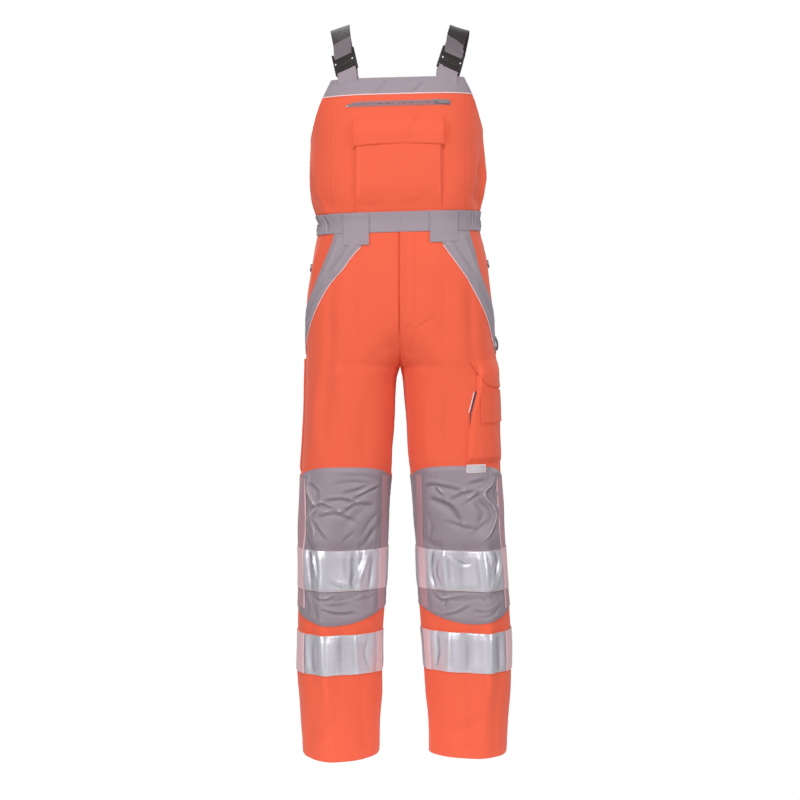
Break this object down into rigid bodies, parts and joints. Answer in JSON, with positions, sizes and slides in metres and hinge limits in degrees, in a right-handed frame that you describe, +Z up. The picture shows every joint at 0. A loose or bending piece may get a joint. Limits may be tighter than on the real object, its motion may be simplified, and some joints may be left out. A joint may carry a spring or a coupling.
{
  "type": "bib overalls",
  "caption": "High-visibility bib overalls filled out as if worn: orange cloth, grey panels, silver leg bands, chest and thigh pockets, and braces with buckles over the shoulders.",
  "frame": {"origin": "midway between the tops of the two shoulders, where the braces rest and the garment is held", "axes": "+Z up the wearer, the front faces -Y, +X towards the wearer's left"},
  "size_m": [0.4309, 0.2773, 1.461],
  "materials": {
    "orange_cloth": "woven fluorescent orange work cloth, dull",
    "grey_cloth": "close grey work cloth with a faint lilac cast, dull",
    "webbing": "woven grey webbing",
    "elastic": "dark ribbed elastic",
    "reflective_tape": "silver retroreflective tape, half gloss",
    "piping": "pale reflective piping",
    "black_plastic": "black moulded plastic with a fine grain",
    "metal": "dull nickel",
    "zip_tape": "woven zip tape"
  },
  "bodies": {
    "garment": {"back_bib": "orange_cloth", "back_leg_left": "orange_cloth", "back_leg_right": "orange_cloth", "back_yoke": "grey_cloth", "belt_loop_left": "grey_cloth", "belt_loop_right": "grey_cloth", "bib_front": "orange_cloth", "bib_side_left": "orange_cloth", "bib_side_right": "orange_cloth", "bib_yoke": "grey_cloth", "buckle_frame_left": "black_plastic", "buckle_frame_right": "black_plastic", "buckle_plate_left": "black_plastic", "buckle_plate_right": "black_plastic", "button_lower_left": "metal", "button_lower_right": "metal", "button_upper_left": "metal", "button_upper_right": "metal", "cargo_flap": "orange_cloth", "cargo_piping": "piping", "cargo_pocket": "orange_cloth", "cargo_tab": "reflective_tape", "chest_flap": "orange_cloth", "chest_pocket": "orange_cloth", "elastic_left": "elastic", "elastic_right": "elastic", "fly": "orange_cloth", "front_leg_left": "orange_cloth", "front_leg_right": "orange_cloth", "hip_panel_left": "grey_cloth", "hip_panel_right": "grey_cloth", "hip_piping_left": "piping", "hip_piping_right": "piping", "knee_back_left": "grey_cloth", "knee_back_right": "grey_cloth", "knee_patch_left": "grey_cloth", "knee_patch_right": "grey_cloth", "phone_pocket": "orange_cloth", "rule_pocket": "orange_cloth", "strap_left": "webbing", "strap_right": "webbing", "strap_tab_left": "grey_cloth", "strap_tab_right": "grey_cloth", "tape_lower_back_left": "reflective_tape", "tape_lower_back_right": "reflective_tape", "tape_lower_front_left": "reflective_tape", "tape_lower_front_right": "reflective_tape", "tape_upper_back_left": "reflective_tape", "tape_upper_back_right": "reflective_tape", "tape_upper_front_left": "reflective_tape", "tape_upper_front_right": "reflective_tape", "tool_loop": "webbing", "waistband_back": "grey_cloth", "waistband_front": "grey_cloth", "waistband_side_left": "grey_cloth", "waistband_side_right": "grey_cloth", "yoke_piping": "piping", "zip_slider": "metal", "zip_tape": "zip_tape"},
    "zip_pull": {"zip_pull": "metal"}
  },
  "joints": [
    {"name": "zip_pull_hinge", "type": "hinge", "parent": "garment", "child": "zip_pull", "pos_m": [0.06994, -0.12066, -0.16347], "axis": [0.0401, -0.0723, -0.9966], "range_deg": [0, 150]}
  ]
}
